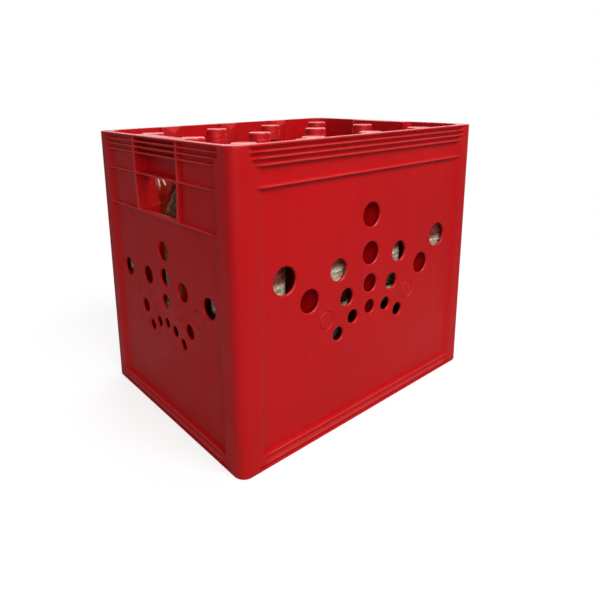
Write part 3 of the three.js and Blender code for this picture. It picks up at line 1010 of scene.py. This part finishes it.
# %% Screw cap
CAP_SIDES = 144
KNURLS = 48
KNURL = 0.13
CAP_LOW, CAP_TOP = 315, 335
CAP_LINE = 321.2  # where the tamper band is tied to the cap
CAP_PROFILE = [
    (0, CAP_TOP - 0.5, 0), (9.6, CAP_TOP - 0.5, 0.4), (10.1, CAP_TOP - 0.1, 0.3),
    (11.2, CAP_TOP - 0.1, 0.3), (11.6, CAP_TOP - 0.35, 0.3), (12.4, CAP_TOP, 0.5),
    (13.3, CAP_TOP, 0.9), (13.9, CAP_TOP - 1.6, 1), (14, 327.6, 0.3), (13.75, 327.2, 0.2),
    (14.1, 326.8, 0.3), (14.3, CAP_LINE + 0.6, 0.3), (13.7, CAP_LINE + 0.3, 0.1),
    (13.7, CAP_LINE - 0.1, 0.1), (14.5, CAP_LINE - 0.4, 0.3), (14.7, CAP_LOW, 0.4),
    (13.2, CAP_LOW, 0.3), (13, 331.6, 0.8), (0, 332.2, 0),
]


def knurl(radius, z, angles):
    on_skirt = radius > 13.6 and CAP_LINE + 0.8 < z < CAP_TOP - 1.3
    return KNURL * np.cos(KNURLS * angles) if on_skirt else 0


cap_pattern = lathe("cap_pattern", profile_of(CAP_PROFILE)[::-1], CAP_SIDES, knurl)
shade(cap_pattern, 40)
print("cap faces:", len(cap_pattern.data.polygons))

# %% Paper label
# The label covers a little less than half of the bottle: its two free ends lie at the sides.
LABEL_LOW, LABEL_HIGH = 145, 203
LABEL_RADIUS = 40.5
PAPER = 0.14
LABEL_SWEEP = math.radians(172)
LABEL_STEPS = 60


def label_mesh():
    columns, faces, places = [], [], []
    for i in range(LABEL_STEPS + 1):
        share = i / LABEL_STEPS
        angle = (share - 0.5) * LABEL_SWEEP
        for radius, z in ((LABEL_RADIUS, LABEL_LOW), (LABEL_RADIUS + PAPER, LABEL_LOW),
                          (LABEL_RADIUS + PAPER, LABEL_HIGH), (LABEL_RADIUS, LABEL_HIGH)):
            columns.append((radius * math.sin(angle), -radius * math.cos(angle), z))
            places.append((share, (z - LABEL_LOW) / (LABEL_HIGH - LABEL_LOW)))
    for i in range(LABEL_STEPS):
        for k in range(4):
            following = (k + 1) % 4
            faces.append((4 * i + k, 4 * i + 4 + k, 4 * i + 4 + following, 4 * i + following))
    faces += [(0, 1, 2, 3), tuple(4 * LABEL_STEPS + k for k in (3, 2, 1, 0))]
    label = build_mesh("label_pattern", columns, faces)
    print_map = label.data.uv_layers.new(name="print")
    for loop in label.data.loops:
        print_map.data[loop.index].uv = places[loop.vertex_index]
    return shade(label, 50)


label_pattern = label_mesh()
print("label faces:", len(label_pattern.data.polygons))

# %% [markdown]
# ## Finishes of a bottle
#
# Returnable glass has seen many trips: where bottles touch, at the heel and the two rings, it is
# scuffed to a frosted white. Under the shoulder the scuffs are painted a dark red instead, a painted
# reflection of the red crate walls and painted shade. The drink is a clear yellow. The cap is a
# glossier plastic than the crate. The label is printed in a few flat fields of colour.

# %% Bottle glass
finish = Finish("bottle_glass")
place = finish.place()
height = finish.axis(place, "Z")


def ring_mask(low, high, soft=0.006):
    return height.between(low - soft, low + soft) * (1 - height.between(high - soft, high + soft))


# Painted reflection and shade: the band under the shoulder is scuffed like the rings, but its scuffs
# are painted dark red, for the crate's red light in shade.
scuff_and_red_bounce_band = ring_mask(0.19, 0.232, 0.003)
worn = ring_mask(-0.02, 0.010) + ring_mask(0.129, 0.142, 0.003) \
    + 1.6 * ring_mask(0.16, 0.188, 0.004) + scuff_and_red_bounce_band
fine = finish.noise(place, 650, 4, 0.7)
rubbed = finish.noise(finish.stretched(place, (40, 40, 160)), 1, 3, 0.6)
frost = worn * fine.between(0.4, 0.6) * (0.3 + 0.7 * rubbed.between(0.35, 0.6))
clear = finish.node("ShaderNodeBsdfPrincipled", None, {
    "Base Color": (0.93, 0.975, 0.955), "Roughness": 0.02 + 0.25 * frost, "IOR": 1.5,
    "Transmission Weight": 1.0, "Normal": finish.bump(finish.noise(place, 45, 2), 0.25, 0.0006)})
chalky = finish.node("ShaderNodeBsdfPrincipled", None, {
    "Base Color": finish.blend(scuff_and_red_bounce_band, (0.94, 0.9, 0.82), (0.42, 0.06, 0.07)), "Roughness": 0.75})
worn_glass = finish.node("ShaderNodeMixShader", None, {0: frost * 0.85, 1: clear, 2: chalky})
glass = finish.end(finish.light_through(worn_glass, (0.72, 0.74, 0.73)))

# %% Yellow drink
# A clear drink has no colour of its own surface: light is filtered on its way through.
finish = Finish("drink")
place = finish.place()
cloud = finish.noise(place, 26, 3)
drink_colour = finish.blend(cloud.between(0.3, 0.7), linear(255, 238, 150), linear(255, 242, 165))
body_of_drink = finish.node("ShaderNodeVolumeAbsorption", None, {
    "Color": linear(255, 222, 0), "Density": 14.0})
clear_drink = finish.node("ShaderNodeBsdfPrincipled", None, {
    "Base Color": drink_colour, "Roughness": 0.02 + 0.03 * cloud, "IOR": 1.34,
    "Transmission Weight": 1.0})
drink = finish.end(finish.light_through(clear_drink, linear(232, 214, 140)), body_of_drink)

# %% Cap plastic
finish = Finish("cap_plastic")
place = finish.place()
wear = finish.noise(place, 900, 3, 0.6)
mottle = finish.noise(place, 60, 2)
cap_colour = finish.blend(mottle.between(0.3, 0.7), linear(214, 12, 20), linear(222, 16, 24))
cap_colour = finish.blend(wear.between(0.66, 0.8) * 0.3, cap_colour, linear(226, 120, 112))
cap_edge = finish.node("ShaderNodeBevel", {"samples": 4}, {"Radius": 0.0003})
cap_plastic = finish.end(finish.node("ShaderNodeBsdfPrincipled", None, {
    "Base Color": cap_colour, "Roughness": 0.30 + 0.12 * wear, "IOR": 1.5,
    "Normal": finish.bump(wear, 0.2, 0.0001, cap_edge)}))

# %% Printed label
finish = Finish("label_paper")
print_place = finish.node("ShaderNodeUVMap", {"uv_map": "print"})
across = (finish.axis(print_place, "X") - 0.5) * (LABEL_SWEEP * LABEL_RADIUS)
aloft = (finish.axis(print_place, "Y") - 0.5) * (LABEL_HIGH - LABEL_LOW)
YELLOW, GREEN = linear(255, 220, 0), linear(0, 150, 40)
DOTS = [(38, 12, 3), (30, 18, 1.8), (58, 4, 2.4)]  # place and radius, right of the middle
PRINT_EDGE = 0.15  # half the softness of a printed edge


def disc(x, y, radius):
    sideways, upwards = across - x, aloft - y
    distance = (sideways * sideways + upwards * upwards).root()
    return 1 - distance.between(radius - PRINT_EDGE, radius + PRINT_EDGE)


def below_wave(level, swing, length, start):
    wave = (across / length + start).sine() * swing
    return 1 - (aloft - wave).between(level - PRINT_EDGE, level + PRINT_EDGE)


fields = [(disc(0, 0, 25), linear(255, 203, 0)),
          (below_wave(-17, 3.2, 14, 0.6), linear(132, 200, 0)), (below_wave(-21, 2.6, 11, 2.2), GREEN),
          (disc(0, 2, 16.5), linear(255, 255, 255)), (disc(0, 2, 14.8), linear(0, 40, 120)),
          (disc(-5, 6, 3.4), YELLOW)]
fields += [(disc(side * x, y, radius), GREEN) for x, y, radius in DOTS for side in (-1, 1)]
printed = YELLOW
for field, colour in fields:
    printed = finish.blend(field, printed, colour)
fibre = finish.noise(finish.place(), 1400, 3)
label_paper = finish.end(finish.node("ShaderNodeBsdfPrincipled", None, {
    "Base Color": printed, "Roughness": 0.42 + 0.1 * fibre,
    "Normal": finish.bump(fibre, 0.15, 0.0001)}))
print("label nodes:", len(finish.tree.nodes))

# %% [markdown]
# ## Twelve bottles in their cells
#
# The patterns are copied onto the places that the CAD gives. Each bottle is turned as in the CAD:
# the open side of its label faces the nearest outer wall.

# %% Place the bottles
PARTS = [("glass", glass_pattern, glass, "bottle_glass"), ("drink", drink_pattern, drink, "drink"),
         ("cap", cap_pattern, cap_plastic, "cap_plastic"),
         ("label", label_pattern, label_paper, "label_paper")]


def label_turn(column, row):
    east = (column > 1.5) * 2 - 1 if column in (0, COLUMNS - 1) else 0
    north = row - 1
    return math.atan2(-north, -east) + math.pi / 2 if east or north else 0


for column in range(COLUMNS):
    for row in range(ROWS):
        cell = f"r{row + 1}c{column + 1}"
        low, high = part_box(f"glass_{cell}")
        middle = (low + high) / 2
        turn = Matrix.Rotation(label_turn(column, row), 4, "Z")
        for part, pattern, material, slot in PARTS:
            piece = pattern.copy()
            piece.data = pattern.data.copy()
            piece.data.transform(turn)
            piece.name = f"bottle_{part}_{cell}"
            piece.data.materials.append(material)
            piece.matrix_world = Matrix.Translation((middle.x, middle.y, low.z))
            bpy.context.scene.collection.objects.link(piece)
            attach(piece, "root")
            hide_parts(f"{part}_{cell}")
for _, pattern, _, _ in PARTS:
    bpy.data.objects.remove(pattern)
print("bottles:", COLUMNS * ROWS)

# %% [markdown]
# ## The studio
#
# The picture shows a white room. Its light comes from a large soft source high in front of the long
# side, from a weaker one on the left that fills the short side, and from the room itself, which is
# brightest behind the crate on the right: that brightness lies as a pale gleam on the rim. Seen
# through glass the room is dim, because the bottles stand deep between red walls. The floor is a
# grey that glows to the camera alone, so that it comes out pale without lighting the crate from
# below, and it fades away before its far edge would show.

# %% Floor
FLOOR_HALF = 2
FLOOR_GREY, FLOOR_GLOW = 0.34, 0.74
floor = put("floor", bpy.data.meshes.new("floor"))
with reshaped(floor.data) as shape:
    bmesh.ops.create_grid(shape, x_segments=8, y_segments=8, size=FLOOR_HALF)
finish = Finish("floor_paint")
floor_grain = finish.noise(finish.place(), 3, 2)
reach = finish.node("ShaderNodeVectorMath", {"operation": "LENGTH"}, {0: finish.place()},
                    output="Value")
seen = finish.node("ShaderNodeLightPath", output="Is Camera Ray")
floor.data.materials.append(finish.end(finish.node("ShaderNodeBsdfPrincipled", None, {
    "Base Color": (FLOOR_GREY, FLOOR_GREY, FLOOR_GREY), "Roughness": 0.75 + 0.1 * floor_grain,
    "Alpha": 1 - reach.between(0.32, 0.8), "Specular IOR Level": 0.1,
    "Emission Color": finish.blend(seen, (0.0, 0.0, 0.0), (FLOOR_GLOW, FLOOR_GLOW, FLOOR_GLOW)),
    "Emission Strength": 1.0})))

# %% Surround and light
SURROUND, BRIGHT_SIDE = 0.2, 2.0
BRIGHT_WAY = Vector((0.75, 0.6, 0.2)).normalized()
world = bpy.data.worlds.new("surround")
world.use_nodes = True
bpy.context.scene.world = world
room = Finish("room", world.node_tree)
towards = room.node("ShaderNodeVectorMath", {"operation": "DOT_PRODUCT"}, {
    0: room.place("Generated"), 1: BRIGHT_WAY}, output="Value")
above_floor = room.axis(room.place("Generated"), "Z").between(-0.05, 0.1)
glow = SURROUND + (BRIGHT_SIDE - SURROUND) * (towards.between(0.55, 0.9) * above_floor)
glow = glow * (1 - 0.85 * room.node("ShaderNodeLightPath", output="Is Transmission Ray"))
seen = room.node("ShaderNodeLightPath", output="Is Camera Ray")
backdrop = room.node("ShaderNodeBackground", None, {
    "Color": (1.0, 1.0, 1.0), "Strength": glow + (1 - glow) * seen})
outlet = world.node_tree.nodes.new("ShaderNodeOutputWorld")
world.node_tree.links.new(backdrop.socket, outlet.inputs["Surface"])


def soft_light(name, place, target, width, depth, power):
    lamp = bpy.data.lights.new(name, "AREA")
    lamp.shape = "RECTANGLE"
    lamp.size, lamp.size_y = width, depth
    lamp.energy = power
    light = put(name, lamp)
    light.visible_camera = False
    light.visible_transmission = False
    aim = (Vector(target) - Vector(place)).to_track_quat("-Z", "Y")
    light.matrix_world = Matrix.Translation(place) @ aim.to_matrix().to_4x4()


MIDDLE = (0, 0, 0.2)
soft_light("key_light", (0.08, -1.67, 2.28), MIDDLE, 1.44, 1.12, 46)
soft_light("fill_light", (-1.0, -1.35, 0.95), MIDDLE, 1.2, 1.0, 8.5)
scene = bpy.context.scene
scene.view_settings.view_transform = "Standard"
